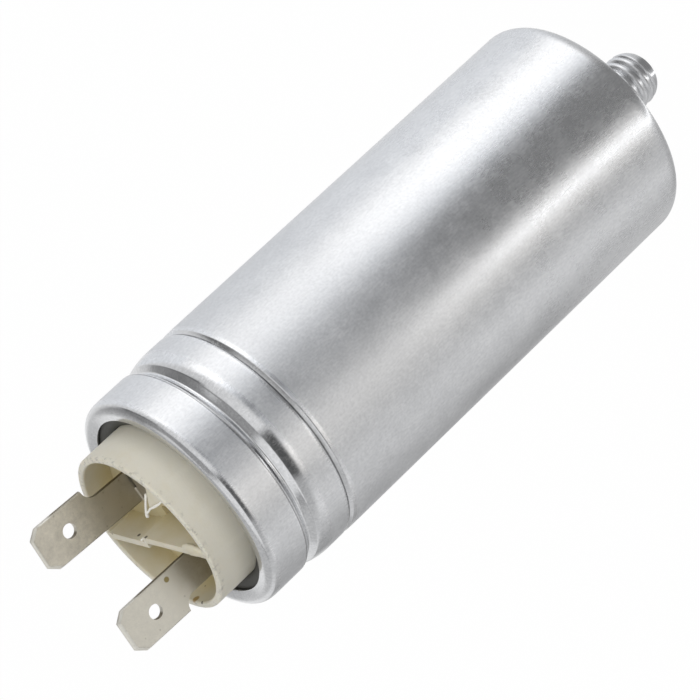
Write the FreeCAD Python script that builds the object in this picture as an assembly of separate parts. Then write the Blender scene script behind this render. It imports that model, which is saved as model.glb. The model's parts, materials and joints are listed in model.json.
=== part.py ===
import FreeCAD, Part
import math
import os

# Motor run capacitor in an aluminium can, upright, terminals up, stud down.
# Millimetres. The can axis is Z and the mounting face of the can is the plane Z = 0.

# Can and stud, the height to the top of the curled lip
can_diameter = 34.0
can_height = 81.2
can_wall = 0.5
base_thickness = 1.5
base_outer_radius = 2.8
base_inner_radius = 2.0
stud_diameter = 8.0
stud_length = 12.0
stud_tip_chamfer = 1.4

# Rolled grooves and neck ring, set down from the top of the lip
score_below_top = 14.2
score_depth = 0.35
score_lead_in = 0.65
score_lead_out = 0.3
neck_step = 0.05
neck_straight = 1.8
neck_sag = 0.07
bead_below_top = 7.7
bead_half_width = 1.2
bead_depth = 0.7

# Lip band that is curled in over the rubber ring
lip_step = 0.45
lip_corner_radius = 1.2
lip_width = 2.55
lip_slope = 0.3

# Rubber sealing ring
ring_to_can = 0.15
ring_to_cup = 0.05
ring_slope = 0.5

# Moulded terminal deck with its cup
deck_to_can = 0.3
cup_to_lip = 1.6
cup_wall = 1.0
cup_recess = 4.45
cup_rim_radius = 0.3
flange_thickness = 3.6
floor_above_lip = 0.5
floor_thickness = 2.2
deck_skirt = 1.2
deck_turn = -22.0

# Partition of the cup, two half walls side by side with a jog between them
partition_turn = -27.8
near_wall_thickness = 0.95
near_wall_offset = -1.5
near_wall_end = 2.6
far_wall_thickness = 0.95
far_wall_offset = -2.33
far_wall_end = 2.2

# Creepage slots sunk in the floor, one in each half of the cup
slot_depth = 2.3
slot_floor_wall = 1.2
slot_width = 1.5
slot_spread = 0.9
slot_gap_to_jog = 0.2

# Moulding flap at the near rim
flap_angle = -73.5
flap_width = 3.0
flap_reach = 4.6
flap_rise = 0.2
flap_thickness = 0.3
flap_root_in_wall = 0.3
flap_tip_share = 0.15

# Terminal tabs, 6.3 x 0.8 series
tab_width = 6.3
tab_thickness = 0.8
tab_above_cup = 11.95
tab_tip_chamfer_across = 1.05
tab_tip_chamfer_along = 1.3
tab_hole_diameter = 2.0
tab_hole_from_tip = 5.05
tab_edge_chamfer = 0.12
tab_neck_from_tip = 9.0
tab_neck_depth = 1.75
tab_neck_radius = 1.7
tab_foot_length = 5.6
tab_foot_slot_width = 0.45
tab_foot_slot_length = 2.2
tab_foot_slot_to_edge = 0.3
tab_foot_taper_across = 2.0
tab_foot_taper_along = 3.5
tab_bend_radius = 0.3
tab_1_root_across = 5.50
tab_1_root_depth = 4.08
tab_1_lean = 3.0
tab_2_root_across = 6.705
tab_2_root_depth = 4.11
tab_2_lean = 1.3

# Rivets that clamp the tab feet to the floor, their heads sunk flush in the feet
rivet_diameter = 2.0
rivet_head_diameter = 2.6
rivet_head_height = 0.4
rivet_tail_diameter = 3.2
rivet_tail_height = 0.7
rivet_from_tab = 3.5
rivet_to_middle = 0.36

# Solder tags under the floor, wires and their sleeves
wire_diameter = 0.6
tag_diameter = 3.5
tag_thickness = 0.5
tongue_width = 2.0
tongue_length = 1.2
wire_hole_from_tag = 0.6
sleeve_wall = 0.2
sleeve_1_length = 8.0
lead_2_crossing_above_score = 2.5
lane_gap = 0.05
sleeve_2_end_gap = 1.5
lead_2_overlap = 0.5

# Wound element
winding_bottom_height = 4.0
winding_below_score = 5.0
core_outer_diameter = 8.0
core_wall = 1.0
spray_thickness = 0.6

# Insulation and filling
liner_wall = 0.3
liner_to_can = 0.1
liner_below_score = 0.3
liner_to_corner = 0.02
insulator_to_corner = 0.2
resin_to_liner = 0.02
resin_above_winding = 2.9

can_radius = can_diameter / 2
inner_radius = can_radius - can_wall
neck_radius = can_radius - neck_step
lip_radius = can_radius - lip_step
lip_opening = lip_radius - lip_width
stud_radius = stud_diameter / 2
cup_radius = lip_opening - cup_to_lip
cup_bore = cup_radius - cup_wall

# Heights from the mounting face
score_height = can_height - score_below_top
bead_height = can_height - bead_below_top
floor_height = can_height + floor_above_lip
cup_rim_height = floor_height + cup_recess
tab_tip_height = cup_rim_height + tab_above_cup


def point(r, z):
    return FreeCAD.Vector(r, 0, z)


def line(a, b):
    return Part.makeLine(point(*a), point(*b))


def arc(a, middle, b):
    return Part.Arc(point(*a), point(*middle), point(*b)).toShape()


def corner(centre, radius, start, end):
    """An arc about a centre from one angle to another, in degrees, in the profile plane."""
    spots = []
    for angle in (start, (start + end) / 2, end):
        turn = math.radians(angle)
        spots.append((centre[0] + radius * math.cos(turn), centre[1] + radius * math.sin(turn)))
    return arc(*spots)


def spin(edges):
    """The solid swept by a closed profile around the can axis."""
    face = Part.Face(Part.Wire(Part.__sortEdges__(edges)))
    solid = face.revolve(FreeCAD.Vector(0, 0, 0), FreeCAD.Vector(0, 0, 1), 360)
    if solid.Volume < 0:
        solid.reverse()
    return solid


def tube(outer, inner, bottom, top):
    body = Part.makeCylinder(outer, top - bottom, FreeCAD.Vector(0, 0, bottom))
    if inner > 0:
        body = body.cut(Part.makeCylinder(inner, top - bottom + 2, FreeCAD.Vector(0, 0, bottom - 1)))
    return body


def prism(outline, bottom, top):
    """An upright prism on an outline of (x, y) points."""
    spots = [FreeCAD.Vector(x, y, bottom) for x, y in outline]
    face = Part.Face(Part.makePolygon(spots + spots[:1]))
    return face.extrude(FreeCAD.Vector(0, 0, top - bottom))


def turned(shape, degrees):
    copy = shape.copy()
    copy.rotate(FreeCAD.Vector(0, 0, 0), FreeCAD.Vector(0, 0, 1), degrees)
    return copy


def rod(spots, radius):
    """A round wire through a row of points, with ball corners."""
    body = None
    for start, end in zip(spots, spots[1:]):
        a = FreeCAD.Vector(*start)
        b = FreeCAD.Vector(*end)
        piece = Part.makeCylinder(radius, (b - a).Length, a, b - a)
        body = piece if body is None else body.fuse(piece)
    for spot in spots[1:-1]:
        body = body.fuse(Part.makeSphere(radius, FreeCAD.Vector(*spot)))
    return body.removeSplitter()


# Circle of the deep groove, shared by the outside and the inside of the wall
bead_arc = (bead_half_width ** 2 + bead_depth ** 2) / (2 * bead_depth)
bead_centre = lip_radius - bead_depth + bead_arc
bead_inner_arc = bead_arc + can_wall
bead_inner_half = math.sqrt(bead_inner_arc ** 2 - (bead_centre - lip_radius + can_wall) ** 2)
bead_low = bead_height - bead_half_width
bead_high = bead_height + bead_half_width
lip_straight_top = can_height - lip_corner_radius
lip_corner_r = lip_radius - lip_corner_radius
lip_inner_corner = lip_corner_radius - can_wall
lip_end_r = lip_opening + can_wall / 2
lip_end_z = can_height - lip_slope - can_wall / 2
score_foot = score_height - score_lead_in
score_top = score_height + score_lead_out
neck_top = score_top + neck_straight


def make_can():
    """One extruded piece: stud, base, wall, rolled grooves and curled lip."""
    base_r = can_radius - base_outer_radius
    inside_r = inner_radius - base_inner_radius
    inside_z = base_thickness + base_inner_radius
    chamfer_z = -stud_length + stud_tip_chamfer
    neck_bend = (neck_radius - neck_sag, (neck_top + bead_low) / 2)
    inner_bend = (neck_bend[0] - can_wall, neck_bend[1])
    inner_low = bead_height - bead_inner_half
    inner_high = bead_height + bead_inner_half
    half_round = can_wall / 2
    edges = [
        line((0, -stud_length), (stud_radius - stud_tip_chamfer, -stud_length)),
        line((stud_radius - stud_tip_chamfer, -stud_length), (stud_radius, chamfer_z)),
        line((stud_radius, chamfer_z), (stud_radius, 0)),
        line((stud_radius, 0), (base_r, 0)),
        corner((base_r, base_outer_radius), base_outer_radius, -90, 0),
        line((can_radius, base_outer_radius), (can_radius, score_foot)),
        line((can_radius, score_foot), (can_radius - score_depth, score_height)),
        line((can_radius - score_depth, score_height), (neck_radius, score_top)),
        line((neck_radius, score_top), (neck_radius, neck_top)),
        arc((neck_radius, neck_top), neck_bend, (lip_radius, bead_low)),
        arc((lip_radius, bead_low), (lip_radius - bead_depth, bead_height), (lip_radius, bead_high)),
        line((lip_radius, bead_high), (lip_radius, lip_straight_top)),
        corner((lip_corner_r, lip_straight_top), lip_corner_radius, 0, 90),
        line((lip_corner_r, can_height), (lip_end_r, lip_end_z + half_round)),
        arc((lip_end_r, lip_end_z + half_round), (lip_end_r - half_round, lip_end_z),
            (lip_end_r, lip_end_z - half_round)),
        line((lip_end_r, lip_end_z - half_round), (lip_corner_r, lip_straight_top + lip_inner_corner)),
        corner((lip_corner_r, lip_straight_top), lip_inner_corner, 90, 0),
        line((lip_radius - can_wall, lip_straight_top), (lip_radius - can_wall, inner_high)),
        arc((lip_radius - can_wall, inner_high), (bead_centre - bead_inner_arc, bead_height),
            (lip_radius - can_wall, inner_low)),
        arc((lip_radius - can_wall, inner_low), inner_bend, (neck_radius - can_wall, neck_top)),
        line((neck_radius - can_wall, neck_top), (neck_radius - can_wall, score_top)),
        line((neck_radius - can_wall, score_top), (inner_radius - score_depth, score_height)),
        line((inner_radius - score_depth, score_height), (inner_radius, score_foot)),
        line((inner_radius, score_foot), (inner_radius, inside_z)),
        corner((inside_r, inside_z), base_inner_radius, 0, -90),
        line((inside_r, base_thickness), (0, base_thickness)),
        line((0, base_thickness), (0, -stud_length)),
    ]
    return spin(edges)


# Deck levels: the flange rests on the inside of the deep groove
deck_radius = lip_radius - can_wall - deck_to_can
deck_bottom = bead_height + math.sqrt(bead_inner_arc ** 2 - (bead_centre - deck_radius) ** 2)
flange_top = deck_bottom + flange_thickness
floor_bottom = floor_height - floor_thickness
ring_top = lip_end_z - can_wall / 2
slot_bottom = floor_height - slot_depth


def half_wall(thickness, offset, start, end):
    """A length of partition in its own frame, cut to the bore of the cup."""
    side = thickness / 2
    outline = [(offset - side, start), (offset + side, start), (offset + side, end), (offset - side, end)]
    wall = turned(prism(outline, floor_bottom, cup_rim_height), partition_turn)
    return wall.common(tube(cup_bore + cup_wall / 2, 0, floor_bottom, cup_rim_height))


def creepage_slot(side, margin, bottom, top):
    """The sunk strip beside a half wall, or with a margin the boss around it."""
    if side > 0:
        face = near_wall_offset + near_wall_thickness / 2
        jog = near_wall_end - slot_gap_to_jog
    else:
        face = -(far_wall_offset - far_wall_thickness / 2)
        jog = -far_wall_end - slot_gap_to_jog
    near = face - margin
    far = face + slot_width + margin
    end = -cup_bore - cup_wall
    outline = [(near, jog + margin), (far, jog + margin), (far + slot_spread, end), (near, end)]
    strip = prism(outline, bottom, top)
    if side < 0:
        strip = turned(strip, 180)
    strip = turned(strip, partition_turn)
    return strip.common(tube(cup_bore + min(margin, cup_wall / 2), 0, bottom, top))


def flap():
    """A thin three-cornered fin left by the mould inside the near rim."""
    side = flap_width / 2
    edge_r = cup_bore + flap_root_in_wall
    top = cup_rim_height - cup_rim_radius
    tip_r = cup_bore - flap_reach
    spots = [(edge_r, -side, top), (edge_r, side, top), (tip_r, side * flap_tip_share, top + flap_rise)]
    upper = [FreeCAD.Vector(*spot) for spot in spots]
    face = Part.Face(Part.makePolygon(upper + upper[:1]))
    return turned(face.extrude(FreeCAD.Vector(0, 0, -flap_thickness)), flap_angle)


def tab_place(side):
    """Root of a tab in the deck frame, tab 2 through the can axis from tab 1."""
    if side > 0:
        return tab_1_root_across, tab_1_root_depth
    return -tab_2_root_across, -tab_2_root_depth


def rivet_place(side):
    """The point in the deck frame where a rivet goes through the middle of the foot."""
    across, depth = tab_place(side)
    return across - side * rivet_to_middle, depth - side * rivet_from_tab


def make_cup():
    """Flange, cup, floor, partition and slots in one moulding."""
    r = cup_rim_radius
    top = cup_rim_height
    outer = cup_radius
    bore = cup_bore
    skirt_r = outer - deck_skirt
    edges = [
        line((0, floor_height), (bore, floor_height)),
        line((bore, floor_height), (bore, top - r)),
        corner((bore + r, top - r), r, 180, 90),
        line((bore + r, top), (outer - r, top)),
        corner((outer - r, top - r), r, 90, 0),
        line((outer, top - r), (outer, flange_top)),
        line((outer, flange_top), (deck_radius, flange_top)),
        line((deck_radius, flange_top), (deck_radius, deck_bottom)),
        line((deck_radius, deck_bottom), (skirt_r, deck_bottom)),
        line((skirt_r, deck_bottom), (skirt_r, floor_bottom)),
        line((skirt_r, floor_bottom), (0, floor_bottom)),
        line((0, floor_bottom), (0, floor_height)),
    ]
    cup = spin(edges)
    for side in (1, -1):
        boss = creepage_slot(side, slot_floor_wall, slot_bottom - slot_floor_wall, floor_height)
        cup = cup.fuse(boss)
    for side in (1, -1):
        cup = cup.cut(creepage_slot(side, 0, slot_bottom, floor_height + 1))
    reach = cup_radius
    near = half_wall(near_wall_thickness, near_wall_offset, -reach, near_wall_end)
    far = half_wall(far_wall_thickness, far_wall_offset, far_wall_end, reach)
    cup = cup.fuse(near).fuse(far).fuse(flap())
    for side in (1, -1):
        hole = rivet_place(side)
        bore_hole = Part.makeCylinder(rivet_diameter / 2, 3 * floor_thickness,
                                      FreeCAD.Vector(hole[0], hole[1], floor_bottom - floor_thickness))
        cup = cup.cut(turned(bore_hole, deck_turn))
    return cup.removeSplitter()


def make_tab(side):
    """A stamped blade with an outer neck, bent square onto a foot with a rivet hole."""
    across, depth = tab_place(side)
    hole = rivet_place(side)
    lean = tab_1_lean if side > 0 else tab_2_lean
    half = tab_width / 2
    foot_top = floor_height + tab_thickness
    height = tab_tip_height - foot_top
    tip_in = half - tab_tip_chamfer_across
    tip_low = height - tab_tip_chamfer_along
    neck_z = height - tab_neck_from_tip
    neck_x = side * (half - tab_neck_depth)
    outline = [(-half, 0), (-half, tip_low), (-tip_in, height), (tip_in, height), (half, tip_low), (half, 0)]
    spots = [FreeCAD.Vector(x, -tab_thickness / 2, z) for x, z in outline]
    blade = Part.Face(Part.makePolygon(spots + spots[:1])).extrude(FreeCAD.Vector(0, tab_thickness, 0))
    long_edges = []
    for edge in blade.Edges:
        box = edge.BoundBox
        if box.YLength < 0.01 and box.ZMax > tip_low - 0.01:
            long_edges.append(edge)
    blade = blade.makeChamfer(tab_edge_chamfer, long_edges)
    pin = Part.makeCylinder(tab_hole_diameter / 2, 2 * tab_thickness,
                            FreeCAD.Vector(0, -tab_thickness, height - tab_hole_from_tip), FreeCAD.Vector(0, 1, 0))
    blade = blade.cut(pin)
    # the neck is cut from the outer edge with a round upper corner
    reach = tab_neck_depth + 1
    start = neck_x if side > 0 else neck_x - reach
    cut = Part.makeBox(reach, 2 * tab_thickness, neck_z - tab_neck_radius + 1,
                       FreeCAD.Vector(start, -tab_thickness, -1))
    round_x = neck_x + side * tab_neck_radius
    rounder = Part.makeCylinder(tab_neck_radius, 2 * tab_thickness,
                                FreeCAD.Vector(round_x, -tab_thickness, neck_z - tab_neck_radius), FreeCAD.Vector(0, 1, 0))
    blade = blade.cut(cut).cut(rounder)
    blade.translate(FreeCAD.Vector(0, 0, foot_top))
    blade.rotate(FreeCAD.Vector(0, 0, foot_top), FreeCAD.Vector(0, 1, 0), lean)
    inner_x = -side * half
    foot_start = min(inner_x, neck_x)
    foot_width = half + abs(neck_x)
    foot_y = -tab_foot_length + tab_thickness / 2 if side > 0 else -tab_thickness / 2
    foot = Part.makeBox(foot_width, tab_foot_length, tab_thickness,
                        FreeCAD.Vector(foot_start, foot_y, floor_height))
    # a low block joins the leaning blade to its level foot
    join = tab_thickness / 4
    root = Part.makeBox(foot_width, tab_thickness, 2 * join,
                        FreeCAD.Vector(foot_start, -tab_thickness / 2, foot_top - join))
    keep = Part.makeBox(6 * tab_width, 4 * tab_width, 3 * height,
                        FreeCAD.Vector(-3 * tab_width, -2 * tab_width, foot_top - join / 2))
    tab = blade.common(keep).fuse(root).fuse(foot)
    # the round inside of the bend, and the taper of the foot away from it
    bend_y = -tab_thickness / 2 - tab_bend_radius if side > 0 else tab_thickness / 2
    bend = Part.makeBox(foot_width, tab_bend_radius, tab_bend_radius, FreeCAD.Vector(foot_start, bend_y, foot_top))
    bend_axis_y = -side * (tab_thickness / 2 + tab_bend_radius)
    bend_round = Part.makeCylinder(tab_bend_radius, 2 * foot_width,
                                   FreeCAD.Vector(foot_start - 1, bend_axis_y, foot_top + tab_bend_radius),
                                   FreeCAD.Vector(1, 0, 0))
    tab = tab.fuse(bend.cut(bend_round))
    foot_end = -side * (tab_foot_length - tab_thickness / 2)
    taper_start = foot_end + side * tab_foot_taper_along
    wedge = [(inner_x, taper_start), (inner_x + side * tab_foot_taper_across, foot_end), (inner_x, foot_end)]
    tab = tab.cut(prism(wedge, floor_height - tab_thickness, foot_top + tab_thickness))
    slot_y = -tab_thickness / 2 - tab_foot_slot_width if side > 0 else tab_thickness / 2
    slot_edge = neck_x - side * tab_foot_slot_to_edge
    slot_x = min(slot_edge, slot_edge - side * tab_foot_slot_length)
    slot = Part.makeBox(tab_foot_slot_length, tab_foot_slot_width, 3 * tab_thickness,
                        FreeCAD.Vector(slot_x, slot_y, floor_height - tab_thickness))
    tab = tab.cut(slot)
    tab.translate(FreeCAD.Vector(across, depth, 0))
    tab = tab.cut(Part.makeCylinder(rivet_diameter / 2, 3 * tab_thickness,
                                    FreeCAD.Vector(hole[0], hole[1], floor_height - tab_thickness)))
    tab = tab.cut(Part.makeCylinder(rivet_head_diameter / 2, 2 * rivet_head_height,
                                    FreeCAD.Vector(hole[0], hole[1], foot_top - rivet_head_height)))
    return turned(tab.removeSplitter(), deck_turn)


tag_top = floor_bottom
tag_bottom = tag_top - tag_thickness
tail_bottom = tag_bottom - rivet_tail_height


def make_rivet(side):
    """Flush head in the tab foot, shank through foot, floor and tag, and a set tail."""
    hole = rivet_place(side)
    head_bottom = floor_height + tab_thickness - rivet_head_height
    head = Part.makeCylinder(rivet_head_diameter / 2, rivet_head_height,
                             FreeCAD.Vector(hole[0], hole[1], head_bottom))
    shank = Part.makeCylinder(rivet_diameter / 2, head_bottom - tail_bottom + 0.1,
                              FreeCAD.Vector(hole[0], hole[1], tail_bottom))
    tail = Part.makeCylinder(rivet_tail_diameter / 2, rivet_tail_height,
                             FreeCAD.Vector(hole[0], hole[1], tail_bottom))
    return turned(head.fuse(shank).fuse(tail).removeSplitter(), deck_turn)


wire_r = wire_diameter / 2
sleeve_r = wire_r + sleeve_wall
winding_top = score_height - winding_below_score
spray_top = winding_top + spray_thickness
spray_bottom = winding_bottom_height - spray_thickness
liner_outer = inner_radius - liner_to_can
liner_inner = liner_outer - liner_wall
lane_radius = liner_inner - lane_gap - sleeve_r
winding_radius = lane_radius - lane_gap - sleeve_r
lead_2_crossing = score_height + lead_2_crossing_above_score
wire_out = tag_diameter / 2 + wire_hole_from_tag
lead_1_x = rivet_place(1)[0] + wire_out
lead_1_y = rivet_place(1)[1]
lead_2_x = rivet_place(-1)[0] - wire_out
lead_2_y = rivet_place(-1)[1]
lane_angle = math.atan2(lead_2_y, lead_2_x)
lane_x = lane_radius * math.cos(lane_angle)
lane_y = lane_radius * math.sin(lane_angle)
foot_z = spray_bottom - wire_r
foot_r = winding_radius - lead_2_overlap


def make_ring():
    """The rubber ring, its top squeezed down towards the cup inside the curled lip."""
    outer = lip_radius - can_wall - ring_to_can
    inner = cup_radius + ring_to_cup
    edges = [
        line((inner, flange_top), (outer, flange_top)),
        line((outer, flange_top), (outer, ring_top)),
        line((outer, ring_top), (lip_opening, ring_top)),
        line((lip_opening, ring_top), (inner, ring_top - ring_slope)),
        line((inner, ring_top - ring_slope), (inner, flange_top)),
    ]
    return spin(edges)


def make_tag(side):
    """A flat solder tag: a ring under the rivet tail and a tongue with the wire hole."""
    hole = rivet_place(side)
    ring = Part.makeCylinder(tag_diameter / 2, tag_thickness, FreeCAD.Vector(hole[0], hole[1], tag_bottom))
    reach = tag_diameter / 2 + tongue_length
    tongue = Part.makeBox(reach, tongue_width, tag_thickness,
                          FreeCAD.Vector(hole[0] + min(0, side * reach), hole[1] - tongue_width / 2, tag_bottom))
    tag = ring.fuse(tongue)
    tag = tag.cut(Part.makeCylinder(rivet_diameter / 2, 3 * tag_thickness,
                                    FreeCAD.Vector(hole[0], hole[1], tag_bottom - tag_thickness)))
    tag = tag.cut(Part.makeCylinder(wire_r, 3 * tag_thickness,
                                    FreeCAD.Vector(hole[0] + side * wire_out, hole[1], tag_bottom - tag_thickness)))
    return turned(tag.removeSplitter(), deck_turn)


def make_lead(side):
    """A round wire from the hole in its tag down to its end of the winding."""
    if side > 0:
        spots = [(lead_1_x, lead_1_y, tag_top), (lead_1_x, lead_1_y, spray_top)]
    else:
        spots = [
            (lead_2_x, lead_2_y, tag_top),
            (lead_2_x, lead_2_y, lead_2_crossing),
            (lane_x, lane_y, lead_2_crossing),
            (lane_x, lane_y, foot_z),
            (foot_r * math.cos(lane_angle), foot_r * math.sin(lane_angle), foot_z),
        ]
    return turned(rod(spots, wire_r), deck_turn)


def make_sleeve(side):
    """A thin tube slipped over a wire, clear of the wire's bends."""
    if side > 0:
        x, y = lead_1_x, lead_1_y
        bottom = resin_top + sleeve_2_end_gap
        top = bottom + sleeve_1_length
    else:
        x, y = lane_x, lane_y
        bottom = foot_z + sleeve_2_end_gap
        top = lead_2_crossing - sleeve_2_end_gap
    body = Part.makeCylinder(sleeve_r, top - bottom, FreeCAD.Vector(x, y, bottom))
    hole = Part.makeCylinder(wire_r, top - bottom + 2, FreeCAD.Vector(x, y, bottom - 1))
    return turned(body.cut(hole), deck_turn)


resin_top = spray_top + resin_above_winding
core_r = core_outer_diameter / 2
insulator_radius = inner_radius - base_inner_radius - insulator_to_corner
liner_corner = liner_outer - (inner_radius - base_inner_radius)
corner_drop = math.sqrt(base_inner_radius ** 2 - liner_corner ** 2)
liner_bottom = base_thickness + base_inner_radius - corner_drop + liner_to_corner
liner_top = score_foot - liner_below_score

parts = {}
parts["can"] = make_can()
parts["terminal_cup"] = make_cup()
parts["sealing_ring"] = make_ring()
parts["terminal_tab_1"] = make_tab(1)
parts["terminal_tab_2"] = make_tab(-1)
parts["rivet_1"] = make_rivet(1)
parts["rivet_2"] = make_rivet(-1)
parts["solder_tag_1"] = make_tag(1)
parts["solder_tag_2"] = make_tag(-1)
parts["lead_1"] = make_lead(1)
parts["lead_2"] = make_lead(-1)
parts["lead_sleeve_1"] = make_sleeve(1)
parts["lead_sleeve_2"] = make_sleeve(-1)
parts["winding"] = tube(winding_radius, core_r, winding_bottom_height, winding_top)
parts["winding_core"] = tube(core_r, core_r - core_wall, spray_bottom, spray_top)
parts["end_spray_top"] = tube(winding_radius, core_r, winding_top, spray_top)
parts["end_spray_bottom"] = tube(winding_radius, core_r, spray_bottom, winding_bottom_height)
parts["insulating_liner"] = tube(liner_outer, liner_inner, liner_bottom, liner_top)
parts["base_insulator"] = tube(insulator_radius, 0, base_thickness, spray_bottom)

# Resin fills what is left inside the liner, from the base insulator to above the winding
resin = tube(liner_inner - resin_to_liner, 0, spray_bottom, resin_top)
for name in ("winding", "winding_core", "end_spray_top", "end_spray_bottom"):
    resin = resin.cut(parts[name])
for name in ("lead_1", "lead_2", "lead_sleeve_1", "lead_sleeve_2"):
    resin = resin.cut(parts[name])
parts["potting_resin"] = resin

os.makedirs("parts", exist_ok=True)
for name, shape in parts.items():
    if len(shape.Solids) != 1 or not shape.isValid():
        raise RuntimeError("%s has %d solids, valid %s" % (name, len(shape.Solids), shape.isValid()))
    shape.Solids[0].exportStep("parts/%s.step" % name)
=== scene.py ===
"""Visual model of a motor run capacitor in an aluminium can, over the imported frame."""
import json
import math

import bmesh
import bpy
from mathutils import Matrix, Vector, noise


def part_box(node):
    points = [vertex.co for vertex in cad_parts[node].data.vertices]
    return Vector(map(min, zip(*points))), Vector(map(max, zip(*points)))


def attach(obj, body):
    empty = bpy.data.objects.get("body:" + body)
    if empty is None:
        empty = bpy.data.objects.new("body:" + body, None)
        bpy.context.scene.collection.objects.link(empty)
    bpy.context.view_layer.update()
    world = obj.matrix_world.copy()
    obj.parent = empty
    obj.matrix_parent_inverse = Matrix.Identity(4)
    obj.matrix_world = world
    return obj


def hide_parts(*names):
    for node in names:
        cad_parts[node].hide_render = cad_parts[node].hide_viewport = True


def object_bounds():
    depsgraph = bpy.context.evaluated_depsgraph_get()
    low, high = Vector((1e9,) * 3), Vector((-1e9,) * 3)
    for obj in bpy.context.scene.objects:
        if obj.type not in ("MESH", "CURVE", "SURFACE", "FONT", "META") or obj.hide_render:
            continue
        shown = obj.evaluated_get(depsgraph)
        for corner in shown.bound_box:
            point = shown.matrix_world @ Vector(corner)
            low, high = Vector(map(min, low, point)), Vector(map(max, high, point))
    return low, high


bl_info = {
    "name": "Motor run capacitor",
    "version": (1, 0, 0),
    "blender": (4, 5, 0),
    "location": "3D View > Sidebar > Capacitor",
    "description": "Builds the can, terminal deck, tabs and studio of a motor run capacitor",
    "category": "Object",
}

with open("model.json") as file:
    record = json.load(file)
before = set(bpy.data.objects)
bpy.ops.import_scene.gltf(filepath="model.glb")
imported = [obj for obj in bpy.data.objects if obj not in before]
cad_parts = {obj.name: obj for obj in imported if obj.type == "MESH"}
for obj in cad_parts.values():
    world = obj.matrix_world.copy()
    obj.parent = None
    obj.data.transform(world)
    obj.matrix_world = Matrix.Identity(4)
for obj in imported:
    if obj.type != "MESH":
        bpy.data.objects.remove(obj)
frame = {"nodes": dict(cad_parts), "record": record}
CAD_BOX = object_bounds()
MM = 0.001
CAN_LOW, CAN_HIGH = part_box("can")
CUP_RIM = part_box("terminal_cup")[1].z
MOUNTS = {mount["name"]: mount for mount in frame["record"]["mounts"]}
# the blades lean in one upright plane: which way their faces look, and which way their width runs
BLADE_LEAN = Vector(MOUNTS["tab_1"]["axis"])
BLADE_FRONT = Vector((BLADE_LEAN.y, -BLADE_LEAN.x, 0.0)).normalized()
BLADE_WIDTH = Vector((-BLADE_FRONT.y, BLADE_FRONT.x, 0.0))
BLADE_TIP = MOUNTS["tab_1"]["pos_m"][2]


def linear(code):
    """An sRGB hex code as the linear colour that shader sockets take."""
    parts = [int(code[i:i + 2], 16) / 255 for i in (1, 3, 5)]
    return tuple(c / 12.92 if c <= 0.04045 else ((c + 0.055) / 1.055) ** 2.4 for c in parts) + (1.0,)


def node(tree, kind, settings=None, links=None):
    """Adds one shader node, sets its sockets or properties, and links outputs to it. A node among the
    links stands for the first of its outputs that is in use."""
    item = tree.nodes.new(kind)
    for key, value in (settings or {}).items():
        if key == "stops":
            ramp = item.color_ramp
            while len(ramp.elements) < len(value):
                ramp.elements.new(0.5)
            for element, (place, colour) in zip(ramp.elements, value):
                element.position = place
                element.color = colour if isinstance(colour, tuple) else (colour, colour, colour, 1)
        elif isinstance(key, int) or key in item.inputs:
            item.inputs[key].default_value = value
        else:
            setattr(item, key, value)
    for key, source in (links or {}).items():
        if isinstance(source, bpy.types.Node):
            source = next(output for output in source.outputs if output.enabled)
        tree.links.new(source, item.inputs[key])
    return item


def scale_for(size):
    """The scale of a pattern whose grains are this many millimetres across."""
    return 1 / (size * MM)


def toned(colour, factor):
    """A colour made lighter or darker by a factor, at most to white."""
    return tuple(min(1.0, part * factor) for part in colour[:3]) + (1.0,)


def round_mark(tree, place, middle, edge, core, share):
    """How far a round mark covers: its share within the core's radius, none beyond the edge's."""
    away = node(tree, "ShaderNodeVectorMath", {"operation": "DISTANCE", 1: middle}, {0: place})
    return node(tree, "ShaderNodeMapRange",
                {"From Min": edge, "From Max": core, "To Max": share, "interpolation_type": "SMOOTHSTEP"},
                {"Value": away})


def new_material(name):
    """An empty node material and its tree."""
    material = bpy.data.materials.new(name)
    material.use_nodes = True
    material.node_tree.nodes.clear()
    return material, material.node_tree


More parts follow.
